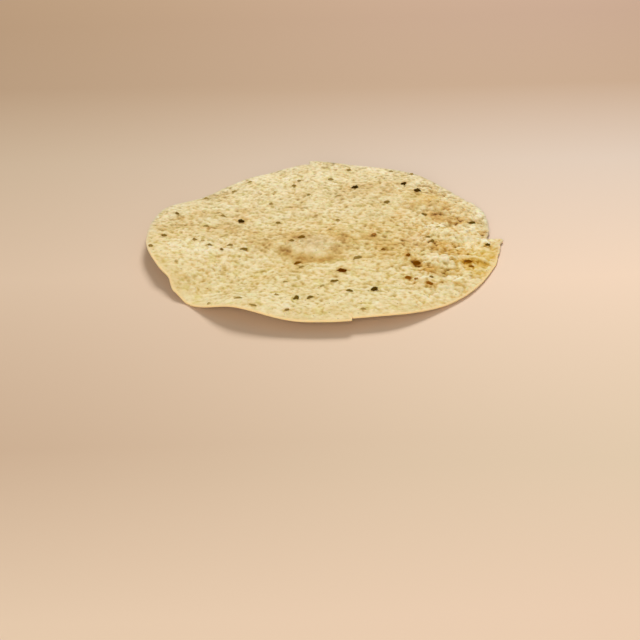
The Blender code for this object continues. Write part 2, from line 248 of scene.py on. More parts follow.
def scatterSeeds():  # those below drawn as for the solid: x, y, turn, length, width, face, shade
    draw = np.random.default_rng(scatter["seed"])
    shades = np.random.default_rng(scatter["shadeSeed"])
    above = [(x * mm, y * mm, turn, length * mm, width * mm, 1, shade)
             for x, y, turn, length, width, shade in markedSeeds]
    below = []
    while len(below) < scatter["under"]:
        reach = scatter["reach"] * math.sqrt(draw.random())
        azimuth = draw.random() * 2.0 * math.pi
        x, y = reach * math.cos(azimuth), reach * math.sin(azimuth)
        over = min(math.hypot(x - seed[0], y - seed[1]) for seed in above)
        beside = min([math.hypot(x - seed[0], y - seed[1]) for seed in below], default=scatter["gap"])
        if over < scatter["clearance"] or beside < scatter["gap"]:
            continue
        lengths, widths = scatter["pepper" if draw.random() < scatter["pepperShare"] else "cumin"]
        turn = draw.random() * 180.0
        length, width = draw.uniform(*lengths), draw.uniform(*widths)
        below.append((x, y, turn, length, width, -1, shades.uniform(*scatter["shades"])))
    return above + below


seeds = scatterSeeds()
print("seeds placed:", len(seeds))


def grain(points, size, layer):  # smooth noise from -1 to 1, with nothing in common from layer to layer
    return np.array([noise.noise(Vector((x, y, layer))) for x, y in points / size])


def grains(points, parts, above=0.0):  # noises of several sizes, each with its share and layer
    return sum(share * grain(points, size, layer + above) for share, size, layer in parts)


def clouds(points, form, layer):  # soft patches from 0 to 1
    return smooth(ranged(form["clouds"], grain(points, form["cloudSize"], layer)))


def wander(points, size, layer):  # a sideways shift of each point
    return np.array([noise.noise_vector(Vector((x, y, layer)))[:2] for x, y in points / size])


warping = {"size": 4 * mm, "reach": 0.9 * mm}  # so that no cell stays round or regular


def warped(points, stretch, layer):
    shift = wander(points, warping["size"], layer)
    return (points + shift * warping["reach"]) / (stretch, 1.0)


def domes(points, form, layer):  # round domes with sharp creases between them, and how far inside a point is
    away = np.empty(len(points))
    for index, (x, y) in enumerate(points / form["cell"]):
        nearest, second = noise.voronoi(Vector((x, y, layer)))[0][:2]
        away[index] = second - nearest
    return 1.0 - (1.0 - np.clip(away / form["domeOver"], 0.0, 1.0)) ** 2, away


bubble = {  # they lift both faces, and creases run between them where the sheet puffed
    "cell": 5.2 * mm,
    "stretch": 0.85,  # how much longer they are in x
    "height": 0.95 * mm,
    "puffedGain": (0.25, 0.75),
    "domeOver": 0.55,  # how far inside its cell one reaches its top
    "level": 0.7,  # the share of a dome that lies at the plain form
    "clouds": (0.4, 1.8),  # level and contrast of the places where they are strong
    "cloudSize": 8 * mm,
    "cloudGain": (0.4, 0.6),  # the share of their height outside those places, and how much more inside
    "creaseDepth": 0.7 * mm,
    "creaseWidth": 0.07,
    "endsAt": 0.93,  # the share of the radius from where they die out
    "endsOver": 0.07,
    "paleShare": 0.5,  # painted highlight: how much paler the domes are, where the painted shade in the creases is darker by 1
    "paleLevel": 0.6,
    "warpLayer": 60.0,
    "layer": 63.0,
    "cloudLayer": 66.0,
}


def bulge(points):  # what the larger bubbles and their creases add to both faces, and how deep a point lies, which the colour follows as painted shade
    puff = ranged(bubble["puffedGain"], puffedShare(points[:, 0]))
    dome, away = domes(warped(points, bubble["stretch"], bubble["warpLayer"]), bubble, bubble["layer"])
    strong = clouds(points, bubble, bubble["cloudLayer"])
    creases = np.exp(-away / bubble["creaseWidth"]) * strong * puff
    inside = 1.0 - smooth((rimShare(points[:, 0], points[:, 1]) - bubble["endsAt"]) / bubble["endsOver"])
    rise = bubble["height"] * (dome - bubble["level"]) * puff * ranged(bubble["cloudGain"], strong)
    foldShade = creases - bubble["paleShare"] * (dome - bubble["paleLevel"]) * puff * strong
    return (rise - bubble["creaseDepth"] * creases) * inside, foldShade


pebble = {
    "cell": 2.4 * mm,  # from one pebble to the next
    "stretch": 1.05,  # how much longer they are in x, the way that the dough was rolled
    "height": 0.30 * mm,
    "underHeight": 0.32 * mm,
    "layer": 0.0,  # of the noise, for each face its own
    "underLayer": 50.0,
    "domeOver": 0.60,
    "level": 0.55,
    "clouds": (0.5, 1.4),
    "cloudSize": 10 * mm,
    "cloudAbove": 5.0,  # how far its layer lies above the pebbles' own
    "cloudGain": (0.45, 0.75),
    "grit": ((1.0, 2.2 * mm, 3.0), (0.5, 1.1 * mm, 9.0)),  # grains between them: share, size, layer above
    "gritHeight": 0.25 * mm,
    "dent": 0.35,  # how much lower both the grains and the dents between them are
    "deepest": -0.36 * mm,  # so that the two faces never meet
    "crestOfDomes": 0.45,  # how far the colour follows the pebbles, and the grit, as painted highlight on what stands up and painted shade on what lies low
    "crestOfGrit": 0.9,
    "crestGain": (0.6, 0.6),
}


def reliefOf(points, height, layer):  # of one face over its plain form, and how far up a pebble a point is, which the colour follows as painted highlight and shade
    bent = warped(points, pebble["stretch"], layer)
    dome = domes(bent, pebble, layer)[0] - pebble["level"]
    grit = grains(bent, pebble["grit"], layer)
    grit = grit + (np.minimum(grit, 0.0) - pebble["dent"] * np.abs(grit))
    strong = clouds(points, pebble, layer + pebble["cloudAbove"])
    relief = height * dome * ranged(pebble["cloudGain"], strong) + pebble["gritHeight"] * grit
    crestLightShade = pebble["crestOfDomes"] * dome * ranged(pebble["crestGain"], strong) + pebble["crestOfGrit"] * grit
    return np.maximum(relief, pebble["deepest"]), crestLightShade


lip = {  # the dough stands up a little round each seed, and is toasted there
    "height": 0.26 * mm,
    "width": 0.55 * mm,
    "out": 0.25 * mm,  # how far outside the seed it stands highest
    "gain": (0.75, 0.5),  # the share of its height that is even, and how far it is uneven
    "bumps": 1.6 * mm,  # the size of its own unevenness
    "layer": 15.0,
    "pit": 0.20 * mm,  # how deep the seed has pressed in
    "pitOver": 0.5 * mm,
    "stain": 0.30,
    "stainMost": 1.2,  # less the seed's own shade
    "stainReach": 0.7 * mm,
    "reach": 4.0 * mm,  # how far past the seed all this ends
    "bed": 1.2 * mm,  # how far past it the dough lies flat
    "bedInset": 0.3 * mm,
    "bedSpots": (-0.35, 0.0, 0.35),  # the shares of its length where the bed's height is taken
}


def bedOf(seed):  # how high the bubbles lift a seed, taken over its whole length
    x, y, turn, length = seed[:4]
    reach = np.array(lip["bedSpots"])[:, None] * length
    return float(bulge((x, y) + reach * direction(turn))[0].mean())


def lipsOf(points, face):  # how the dough stands up round the seeds, its stain, and the flat bed under each
    rise, stain, beds, bedded = np.zeros((4, len(points)))
    bumps = grain(points, lip["bumps"], lip["layer"])
    for seed in seeds:
        x, y, turn, length, width, side, shade = seed
        near = np.hypot(points[:, 0] - x, points[:, 1] - y) < lip["reach"] + length / 2
        if side != face or not near.any():
            continue
        along, across = np.abs(alongAcross(points[near, 0] - x, points[near, 1] - y, turn))
        along = along - length / 2 + width / 2
        gap = np.hypot(np.maximum(along, 0.0), across) - width / 2  # to the edge of the seed
        ring = bell(gap - lip["out"], lip["width"]) * ranged(lip["gain"], bumps[near])
        rise[near] += lip["height"] * ring - lip["pit"] * smooth(-gap / lip["pitOver"])
        flat = smooth(1.0 - (gap + lip["bedInset"]) / lip["bed"])
        beds[near] = np.where(flat > bedded[near], bedOf(seed), beds[near])
        bedded[near] = np.maximum(bedded[near], flat)
        spread = np.exp(-np.maximum(gap, 0.0) / lip["stainReach"])
        stain[near] = np.maximum(stain[near], spread * (lip["stainMost"] - shade))
    return rise, stain * lip["stain"], beds, bedded


# Where frying toasted the sheet, with painted shade and painted highlight among the patches: x, y, half
# length, half width in mm, turn in degrees, and how brown. Below nought it is paler.
toastAndPaintedLight = (
    # broad or faint, all over
    (10, 45, 60, 34, 0, 0.11), (12, 2, 34, 8, 0, 0.25), (34, -12, 12, 9, 0, 0.42),
    (-20, 1, 10, 7, 0, 0.35), (-46, 22, 14, 8, 0, 0.25), (-58, 52, 14, 10, 0, 0.15),
    (14, 50, 9, 11, 0, 0.25), (33, 58, 6, 7, 0, 0.20), (-61, 27, 5, 4, 0, 0.25), (-44, 28, 5, 4, 0, 0.20),
    (-37, 12, 4, 3, 0, 0.20), (-22, 11, 5, 4, 0, 0.28), (-29, 0, 5, 5, 0, 0.22), (43, -12, 4, 4, 0, 0.22),
    (18, -13, 5, 4, 0, 0.20), (11, 60, 4, 4, 0, 0.25), (35, 52, 4, 10, 0, 0.15), (-69, 12, 4, 4, 0, 0.25),
    (-61, 44, 10, 4, 0, 0.18), (75, -20, 4, 3, 0, 0.20), (-68, -46, 6, 6, 0, 0.28),
    (-33, -76, 9, 4, 0, 0.22), (76, -34, 5, 5, 0, 0.10), (-14, 36, 6, 13, 0, 0.20),
    (47, 36, 6, 4, 0, 0.22), (15, 44, 6, 4, 0, 0.18), (-13, -3, 3, 3, 0, 0.22), (3, -2, 4, 5, 0, 0.18),
    (67, 4, 3, 2, 0, 0.30), (50, 11, 3, 3, 0, 0.22), (14, 80, 22, 6, 0, 0.14), (-13, -36, 9, 10, 0, 0.20),
    (-30, -45, 6, 5, 0, 0.25), (-33, -62, 10, 6, 0, 0.15), (29, -48, 8, 6, 0, 0.20),
    (-13, -4, 5, 3, 0, 0.32), (-13, -28, 5, 3, 0, 0.22), (-37, 36, 6, 5, 0, 0.24),
    (-69, 40, 5, 8, 0, 0.20), (35, 46, 6, 4, 0, 0.16), (35, 60, 6, 4, 0, 0.18), (51, 36, 4, 4, 0, 0.20),
    (-29, -20, 6, 3, 0, 0.20), (-6, -11, 10, 6, 0, 0.24), (-30, -5, 7, 4, 0, 0.22),
    (20, -6, 9, 4, 0, 0.20), (-6, -4, 9, 3, 0, 0.08), (-13, -52, 5, 4, 0, 0.18), (51, -44, 3, 2, 0, 0.30),
    (51, 28, 4, 3, 0, 0.22), (67, -28, 4, 2, 0, 0.22),
    # the middle, with the brown arc in front of the pale mound, partly toast and partly painted shade on the
    # mound's front slope
    (-19, -17, 3.5, 4.5, 0, 1.10), (-12, -22, 7, 4, 0, 0.62), (-3, -24, 9, 3, 0, 0.90),
    (5, -22, 5, 4, 0, 0.58), (7, -16, 4, 3, 0, 0.55), (10, -7, 4, 5, 0, 0.55), (11, 0, 3, 3, 0, 0.45),
    (4, 4, 2, 3, 0, 0.45), (-4, 15, 5, 2, 0, 0.50), (-3, 22, 5, 3, 0, 0.28), (25, 10, 3, 3, 0, 0.50),
    (26, -3, 4, 3, 0, 0.35), (35, 12, 10, 12, 0, 0.20), (28, 34, 5, 3, 0, 0.35), (26, -22, 5, 3, 0, 0.35),
    (33, -16, 4, 2, 0, 0.35), (33, -22, 4, 3, 0, 0.40), (30, -33, 5, 3, 0, 0.35),
    (14, -15, 3, 2, 0, 0.35), (-9, 46, 3, 3, 0, 0.35),
    # the left
    (-82, 12, 6, 5, 0, 0.55), (-74, 25, 5, 3, 0, 0.40), (-72, 16, 9, 3, 0, 0.30),
    (-60, 29, 7, 4, 0, 0.42), (-55, 60, 6, 5, 0, 0.42), (-43, 33, 3, 4, 0, 0.38),
    (-48, 13, 8, 4, 0, 0.40), (-46, 5, 9, 5, 0, 0.38), (-36, 6, 5, 4, 0, 0.28), (-35, -8, 5, 3, 0, 0.45),
    (-31, -12, 5, 3, 0, 0.50), (-27, -7, 3, 3, 0, 0.40),
    # the back
    (5, 87, 6, 1.5, 0, 0.55), (8, 80, 8, 4, 0, 0.15), (22, 57, 6, 5, 0, 0.35), (12, 43, 5, 3, 0, 0.30),
    (20, 68, 5, 3, 0, 0.20), (52, 47, 7, 6, 0, 0.25), (60, 52, 5, 4, 0, 0.25),
    # the puffed right, and the front: partly toast, partly painted shade on slopes and folds that face away
    # from the light
    (57, 36, 8, 5, 0, 0.38), (65, 33, 6, 4, 0, 0.40), (60, 25, 5, 3, 0, 0.62), (57, 20, 4, 2, 0, 0.55),
    (66, 21, 8, 2.5, -5, 0.62), (68, 17, 6, 1.0, -8, 0.95), (71, 20, 4, 2, 0, 0.50),
    (66, 7, 3, 2, 0, 0.35), (73, 7, 3, 1.5, 0, 0.30), (86, -17, 3, 6, 0, 0.22),
    (82.5, 8, 2.5, 5, 0, 0.50), (47, 3, 4, 3, 0, 0.30), (60, -8, 5, 3, 0, 0.42), (57, -13, 8, 4, 0, 0.34),
    (66, -17, 8, 4, 0, 0.42), (84, -22, 6, 8, 0, 0.22), (46, -29, 4.5, 3.5, 0, 0.75),
    (42, -22, 3, 3, 0, 0.40), (55, -38, 8, 3, 0, 0.42), (61, -36, 4, 2, 0, 0.45),
    (52, -36, 5, 3, 0, 0.40), (72, -27, 4, 4, 0, 0.65), (77, -29, 2.5, 3, 0, 0.60),
    (41, -45, 3.5, 2.5, 0, 0.75), (44, -50, 3, 2, 0, 0.35), (51, -52, 3, 2.5, 0, 0.50),
    (58, -52, 3, 1.5, 0, 0.35), (64, -49, 3, 2, 0, 0.45), (71, -42, 9, 5, 0, 0.08),
    (0, -82, 14, 6, 0, 0.14), (9, -36, 3.5, 3, 0, 0.40),
    # where it is paler, on the puffed right as a painted highlight on the crests
    (58, 13, 6, 3, 0, -0.55), (77, 11, 5, 4, 0, -0.50), (63, 2, 6, 3, 0, -0.35), (75, 4, 4, 3, 0, -0.50),
    (67, -4, 5, 2.5, 0, -0.45), (83, -4, 4, 3, 0, -0.60), (38, -40, 4, 5, 0, -0.25),
    (57, -27, 7, 3.5, 0, -0.60), (47, -46, 6, 3.5, 0, -0.60), (75, -12, 5, 3, 0, -0.32),
    (67, -12, 5, 3, 0, -0.25), (71, -5, 4, 3, 0, -0.25), (82, -27, 5, 3, 0, -0.28),
    (59, 8, 6, 3, 0, -0.30), (-13, 72, 8, 7, 0, -0.20), (-29, 44, 5, 4, 0, -0.20),
    (11, -68, 6, 4, 0, -0.20), (-13, -68, 6, 4, 0, -0.18), (43, -68, 8, 4, 0, -0.20),
    (35, -44, 4, 3, 0, -0.20), (46, -4, 6, 3, 0, -0.12), (64, -45, 7, 4, 0, -0.40),
    (74, -30, 2, 1, 0, -0.50), (82, 28, 4, 5, 0, -0.40), (-70, -12, 12, 7, 0, -0.20),
    (-48, -13, 8, 3.5, 0, -0.35), (2, 76, 8, 5, 0, -0.30), (28, 80, 10, 5, 0, -0.20),
    (48, -60, 16, 6, 0, -0.20), (-35, -70, 30, 8, 0, -0.15),
)

# Where the sheet stayed smoother, laid out as the brown and pale patches are. Below nought it is rougher.
calmed = (
    (-7, -21, 20, 9, 0, 0.60), (58, 36, 24, 15, 0, 0.45), (-62, 42, 16, 10, 0, 0.20),
    (30, 44, 10, 6, 0, 0.25), (68, -43, 12, 6, 0, -0.25), (44, -42, 8, 7, 0, -0.20),
    (78, 8, 7, 12, 0, -0.20), (0, -6, 14, 8, 0, 0.20),
)

# Where it is greyer, laid out in the same way. Below nought it is yellower.
faded = (
    (-3, -10, 12, 7, 0, 0.9), (48, -5, 8, 8, 0, 0.6), (57, -26, 6, 4, 0, 0.6), (-45, 0, 42, 30, 0, 0.35),
    (80, -20, 8, 10, 0, -0.9), (75, -36, 6, 5, 0, -0.9), (66, -28, 5, 4, 0, -0.5),
    (56, 44, 12, 8, 0, -0.7),
)

# Where the oil was hottest, and the seeds are redder for it.
scorched = (
    (46, -29, 6, 5, 0, 1.4), (72, -27, 5, 3.5, 0, 1.2), (41, -44, 5, 4, 0, 1.4), (51, -52, 5, 4, 0, 1.4),
    (9, -37, 5, 5, 0, 1.2), (42, -24, 3, 3, 0, 0.55), (73, -31, 3, 2, 0, 0.40), (26, 0, 4, 4, 0, 0.75),
    (30, -16, 4, 4, 0, 0.50), (-13, -27, 4, 3, 0, 0.55), (-11, -5, 6, 4, 0, 0.35),
)


def patchesAt(points, patches):  # how strong each patch is at the points
    for *form, strength in patches:
        yield strength * oval(points[:, 0], points[:, 1], *form)


def summed(patches, points):
    return sum(patchesAt(points, patches))


patchBreakup = {  # how noise breaks the brown and pale patches up: the share, size and layer of each
    "stretch": 1.3,
    "warpLayer": 20.0,
    "plain": 0.92,  # of a patch's strength before the noise
    "ragged": ((0.5, 3.0 * mm, 21.0), (0.3, 7 * mm, 23.0)),
    "drift": ((0.16, 14 * mm, 31.0), (0.20, 6 * mm, 37.0), (0.16, 3 * mm, 39.0)),
    "calmGain": 1.2,  # how much softer the patches are where the sheet stayed smooth
    "most": 2.0,  # times a patch's own strength
    "overlap": 0.7,  # how much less a patch adds, at most, where it is brown already
}


def toastAndLightAt(points):
    brown = np.zeros(len(points))
    for patch in patchesAt(points, toastAndPaintedLight):
        more = np.maximum(patch, 0.0) * (1.0 - np.clip(brown, 0.0, patchBreakup["overlap"]))
        brown = brown + more + np.minimum(patch, 0.0)
    return brown


def brownAndPaintedLight(points):
    bent = warped(points, patchBreakup["stretch"], patchBreakup["warpLayer"])
    calm = np.clip(patchBreakup["calmGain"] * summed(calmed, points), 0.0, 1.0)
    ragged = patchBreakup["plain"] + (1.0 - calm) * grains(bent, patchBreakup["ragged"])
    return toastAndLightAt(points) * np.clip(ragged, 0.0, patchBreakup["most"]) + grains(bent, patchBreakup["drift"])


def outlineOf(step):  # the rim from above, half a thickness inside its edge, frayed as broken bread is
    azimuths = np.arange(0.0, 360.0, sheet["rimStep"])
    crackAt, crackDepth, crackHalf = sheet["crack"]
    aside = np.abs(turnFrom(azimuths, crackAt)) / crackHalf
    radii = rimRadius(azimuths) - crackDepth * np.clip(1.0 - aside, 0.0, 1.0) - sheet["thickness"] / 2
    for start, out, half in sheet["teeth"]:
        radii = radii + out * mm * bell(azimuths - start, half) * (azimuths < sheet["notch"])
    dense = rimPoints(azimuths, radii)
    steps = np.hypot(*(np.roll(dense, -1, axis=0) - dense).T)
    gone = np.concatenate([[0.0], np.cumsum(steps)])
    count = int(round(gone[-1] / step))
    at = np.arange(count) * gone[-1] / count
    closed = np.vstack([dense, dense[:1]])
    line = np.stack([np.interp(at, gone, closed[:, 0]), np.interp(at, gone, closed[:, 1])], axis=1)
    azimuth = azimuthOf(line[:, 0], line[:, 1])
    stray = np.full(count, sheet["leastFray"])
    for start, spread, amount in sheet["frays"]:
        stray = np.maximum(stray, amount * mm * bell(turnFrom(azimuth, start), spread))
    fray = sum(share * wander(line, size, layer) for share, size, layer in sheet["fraySizes"])
    return line + fray * stray[:, None]


net = {  # the flat net of points that a face is made of
    "reach": 95 * mm,
    "rimGap": 0.62,  # to the outline, in edge lengths
    "seedGap": 0.7,  # from one seed's points to another's
    "seedReach": 1.0 * mm,  # how far past a seed its points go
    "seedInset": 0.2 * mm,
    "tolerance": 1e-9,  # of the triangles' corners
}


def rows(reach, gap):  # points in staggered rows
    xs = np.arange(-reach, reach, gap)
    lines = [np.stack([xs + gap / 2 * (row % 2), np.full(len(xs), y)], axis=1)
             for row, y in enumerate(np.arange(-reach, reach, gap * math.sqrt(3) / 2))]
    return np.vstack(lines)


def gapsTo(points, places):  # from each point to the nearest of the places
    tree = kdtree.KDTree(len(places))
    for index, (x, y) in enumerate(places):
        tree.insert((x, y, 0.0), index)
    tree.balance()
    return np.array([tree.find((x, y, 0.0))[2] for x, y in points])


def insideOf(outline, gap, seedGap):  # points inside the outline, closer together round the seeds
    points = rows(net["reach"], gap)
    rim = azimuthOf(*outline.T) % 360.0
    order = np.argsort(rim)
    azimuth = azimuthOf(*points.T) % 360.0
    radius = np.interp(azimuth, rim[order], np.hypot(*outline[order].T), period=360.0)
    points = points[np.hypot(*points.T) < radius + gap]
    points = points[gapsTo(points, outline) > net["rimGap"] * gap]
    if not seedGap:
        return points
    patches = []
    for x, y, _, length, width, face, _ in seeds:
        if face < 0:
            continue
        reach = length / 2 + net["seedReach"]
        points = points[np.hypot(points[:, 0] - x, points[:, 1] - y) > reach]
        patch = rows(reach, seedGap)
        patch = patch[np.hypot(*patch.T) < reach - net["seedInset"]] + (x, y)
        patch = patch[gapsTo(patch, outline) > net["rimGap"] * gap]
        if patches and len(patch):
            patch = patch[gapsTo(patch, np.vstack(patches)) > net["seedGap"] * seedGap]
        patches.append(patch)
    return np.vstack([points] + patches)


def netOf(outline, face):  # over one face, seen from above: its points, triangles and rim corners
    gap, seedGap = (sheet["topEdge"], sheet["seedEdge"]) if face > 0 else (sheet["underEdge"], None)
    flat = np.vstack([outline, insideOf(outline, gap, seedGap)])
    ringIds = list(range(len(outline)))
    vectors = [Vector(point) for point in flat.tolist()]
    onlyInside = 1
    found, _, faces, sources, _, _ = geometry.delaunay_2d_cdt(vectors, [], [ringIds], onlyInside,
                                                              net["tolerance"])
    placeOf = {source[0]: index for index, source in enumerate(sources) if source}
    triangles = [tuple(triangle if face > 0 else reversed(triangle)) for triangle in faces]
    return np.array([point[:] for point in found]), triangles, [placeOf[index] for index in ringIds]


def setBack():  # how far the solid was moved to stand on its origin, in X and Y
    azimuths = np.arange(0.0, 360.0, sheet["boxStep"])
    x, y = rimPoints(azimuths, rimRadius(azimuths)).T
    low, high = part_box("papadum")
    return np.array([(low.x + high.x - x.min() - x.max()) / 2, (low.y + high.y - y.min() - y.max()) / 2])


shiftX, shiftY = setBack()
lift = sheet["thickness"] / 2  # the resting plane lies under the lower face
place = Matrix.Translation((shiftX, shiftY, lift))


def makeMesh(name, corners, faces, attributes):
    mesh = bpy.data.meshes.new(name)
    mesh.from_pydata(corners.tolist(), [], faces)
    for label, values in attributes.items():
        layer = mesh.attributes.new(label, "FLOAT", "POINT")
        layer.data.foreach_set("value", np.asarray(values, np.float32))
    mesh.transform(place)
    mesh.shade_smooth()
    thing = bpy.data.objects.new(name, mesh)
    bpy.context.scene.collection.objects.link(thing)
    return thing


skin = {  # how each face changes on its way to the rim
    "fade": (0.2, 0.8),  # the relief's share at the rim, and how much more there is inside
    "fadeFrom": 0.4 * mm,
    "fadeOver": 2.6 * mm,
    "thinning": 0.30,  # how much thinner the sheet is there
    "thinOver": 2.0 * mm,
    "calm": 0.60,  # how much smoother it is inside its front rim
    "calmOver": 9 * mm,
    "front": 60 * mm,  # how far the change from the front to the back reaches
    "roughness": (-0.5, 0.65),  # the least and the most of the relief that is taken away
    "angles": (50.0, 18.0, -18.0, -50.0),  # of the rings round the edge, in degrees
    "tangent": 3,  # the rim's direction is taken from this many corners to either side
}

shading = {  # what the marks that its colours follow are made of, painted highlight, shade, glow and sheen among them
    "tone": 0.28,  # of plain sheet, from 0, palest, to 1, darkest
    "toneOfBrown": 0.50,
    "toneOfCrest": (0.23, 0.06),  # painted highlight and shade: how much paler what stands up is, and darker what lies low, and how much more on the puffed right
    # the bubbles' creases darker and warmer as painted shade, their domes paler as painted highlight
    "toneOfFolds": 0.22,
    "greyRim": (0.04, 0.03),  # how much darker its rim is in front, and how much more at the back
    "rimOver": 4.5 * mm,
    "palest": 0.10,  # below this the tone falls more slowly
    "paleSlope": 0.4,
    "warm": 0.10,  # from 0, straw, to 1, golden
    "warmMiddle": 0.20,  # in a band from left to right
    "middleY": -5 * mm,
    "middleOver": 32 * mm,
    "warmPuffed": 0.25,
    # warmer in the painted shade of the bubbles' creases
    "warmOfFolds": 0.2,
    "coolBack": 0.35,  # along the back of the rim
    "warmOfBrown": (0.55, 0.42),
    "coolOfPale": 0.65,  # cooler where it puffed and is pale: the painted highlight on its crests
    "palestBrown": -0.6,
    "warmClouds": (0.45, 9 * mm, 45.0),  # share, size and layer of the noise
    "oliveStretch": 1.3,
    "oliveWarpLayer": 70.0,
    "oliveClouds": (4.5 * mm, 47.0),  # size and layer of the noise
    "oliveFrom": 0.16,  # of the noise, where the sheet starts to be yellower
    "oliveOver": 0.30,
    "oliveLostPuffed": 0.6,
    "edgeOver": 0.8 * mm,
    "edgeGlow": (0.65, 0.35),  # painted glow of light through the thin broken edge: how strong at the back, and how much more in front
    "sheenBack": 0.6,  # painted sheen: it is greyer towards the back, and along the rim there
    "sheenFrom": -10 * mm,
    "sheenOver": 60 * mm,
    "sheenRim": 0.8,
}


def marksOf(xy, inward, front, crestLightShade, foldShade, stain):  # what the sheet's colours follow, painted highlight, shade, glow and sheen among them
    brown, puffed, back = brownAndPaintedLight(xy), puffedShare(xy[:, 0]), 1.0 - front
    brownness = np.clip(brown, 0.0, 1.0)
    outer = np.exp(-inward / shading["rimOver"])
    tone = shading["tone"] + shading["toneOfBrown"] * brown - ranged(shading["toneOfCrest"], puffed) * crestLightShade
    tone = tone + shading["toneOfFolds"] * foldShade + stain + ranged(shading["greyRim"], back) * outer
    palest = shading["palest"]
    tone = np.where(tone < palest, palest + shading["paleSlope"] * (tone - palest), tone)
    across = bell(xy[:, 1] - shading["middleY"], shading["middleOver"])
    warm = shading["warm"] + shading["warmMiddle"] * across + shading["warmPuffed"] * puffed + stain
    warm = warm + shading["warmOfFolds"] * foldShade - shading["coolBack"] * back * outer
    warm = warm + ranged(shading["warmOfBrown"], puffed) * brownness
    warm = warm + shading["coolOfPale"] * puffed * np.clip(brown, shading["palestBrown"], 0.0)
    warm = warm + grains(xy, [shading["warmClouds"]])
    bent = warped(xy, shading["oliveStretch"], shading["oliveWarpLayer"])
    olive = smooth((grain(bent, *shading["oliveClouds"]) - shading["oliveFrom"]) / shading["oliveOver"])
    olive = olive * (1.0 - shading["oliveLostPuffed"] * puffed) * (1.0 - brownness)
    edgeGlow = bell(inward, shading["edgeOver"]) * ranged(shading["edgeGlow"], front)
    greyAndSheen = shading["sheenBack"] * smooth((xy[:, 1] - shading["sheenFrom"]) / shading["sheenOver"])
    greyAndSheen = np.clip(greyAndSheen + shading["sheenRim"] * back * outer + summed(faded, xy), -1.0, 1.0)
    return {"tone": tone, "warm": warm, "olive": olive, "edgeGlow": edgeGlow, "greyAndSheen": greyAndSheen, "dull": back}


def makeSkin(outline, face):  # one face: its corners, triangles, rim corners and marks
    xy, triangles, ring = netOf(outline, face)
    x, y = xy.T
    inward = gapsTo(xy, outline)
    front = smooth(0.5 - y / skin["front"])
    calm = skin["calm"] * front * bell(inward, skin["calmOver"])
    patches = summed(calmed, xy)
    rough = 1.0 - np.clip(np.maximum(calm, patches) + np.minimum(patches, 0.0), *skin["roughness"])
    ways = ("height", "layer") if face > 0 else ("underHeight", "underLayer")
    relief, crestLightShade = reliefOf(xy, *(pebble[way] for way in ways))
    relief, crestLightShade = relief * rough, crestLightShade * rough
    lips, stain, beds, bedded = lipsOf(xy, face)
    fade = ranged(skin["fade"], smooth((inward - skin["fadeFrom"]) / skin["fadeOver"]))
    relief = (relief * (1.0 - bedded) + lips) * fade
    relief[ring] = 0.0
    thin = 1.0 - skin["thinning"] * bell(inward, skin["thinOver"])
    rise, foldShade = bulge(xy)
    rise = rise + (beds - rise) * bedded
    height = sheetHeight(x, y) + rise + face * (sheet["thickness"] / 2 * thin + relief)
    if face < 0:
        height = np.maximum(height, -lift)  # it rests on the plane
    marks = marksOf(xy, inward, front, crestLightShade, foldShade, stain)
    return np.column_stack([xy, height]), triangles, ring, {**marks, "rough": rough}


def makeSheet():
    outline = outlineOf(sheet["topEdge"])
    corners, faces, upper, marks = makeSkin(outline, 1)
    below, belowFaces, lower, belowMarks = makeSkin(outline, -1)
    count = len(corners)
    corners = np.vstack([corners, below])
    faces += [tuple(count + index for index in triangle) for triangle in belowFaces]
    marks = {label: np.concatenate([marks[label], belowMarks[label]]) for label in marks}
    lower = [count + index for index in lower]
    # rings round the edge, from the upper face to the lower one
    along = np.roll(outline, -skin["tangent"], axis=0) - np.roll(outline, skin["tangent"], axis=0)
    along = along / np.hypot(*along.T)[:, None]
    outward = np.stack([along[:, 1], -along[:, 0]], axis=1)
    middle = (corners[upper, 2] + corners[lower, 2]) / 2
    half = sheet["thickness"] / 2 * (1.0 - skin["thinning"])
    rings = [upper]
    for angle in skin["angles"]:
        out, up = direction(angle)
        start = len(corners)
        corners = np.vstack([corners, np.column_stack([outline + outward * half * out, middle + half * up])])
        marks = {label: np.concatenate([values, values[upper]]) for label, values in marks.items()}
        rings.append(list(range(start, len(corners))))
    rings.append(lower)
    for above, under in zip(rings, rings[1:]):
        for index in range(len(outline)):
            after = (index + 1) % len(outline)
            faces.append((above[index], under[index], under[after], above[after]))
    return makeMesh("crisp_sheet", corners, faces, marks)


def seedFrame(x, y, turn, face, bed, sink):  # where a seed lies, with Z along it and Y out of the sheet
    spotsX = np.array([x, x + scatter["slopeStep"], x])
    spotsY = np.array([y, y, y + scatter["slopeStep"]])
    middle, beside, behind = sheetHeight(spotsX, spotsY)
    normal = Vector((middle - beside, middle - behind, scatter["slopeStep"])).normalized()
    along = Vector((*direction(turn), 0.0))
    along = (along - normal * along.dot(normal)).normalized()
    across = normal.cross(along)
    at = Vector((x, y, middle + bed)) + normal * (scatter["rise"][face > 0] - sink) * face
    return Matrix.Translation(at) @ Matrix((across, normal, along)).transposed().to_4x4()


def loft(rings, sides, spotAt):  # a closed skin of rings between two end points, and the rib value at each corner, which the colour follows as painted shade
    places = [(ring / rings, 2 * math.pi * side / sides) for ring in range(1, rings) for side in range(sides)]
    spots = [spotAt(share, angle) for share, angle in [(0.0, 0.0)] + places + [(1.0, 0.0)]]
    last = len(spots) - 1
    faces = []
    for side in range(sides):
        after = (side + 1) % sides
        faces.append((0, 1 + after, 1 + side))
        faces.append((last - sides + side, last - sides + after, last))
        for low in range(1, last - sides, sides):
            faces.append((low + side, low + after, low + sides + after, low + sides + side))
    return [spot for spot, _ in spots], faces, [ribColourAndShade for _, ribColourAndShade in spots]


noiseReach = 50.0  # each seed takes its own piece of the noise, out to here

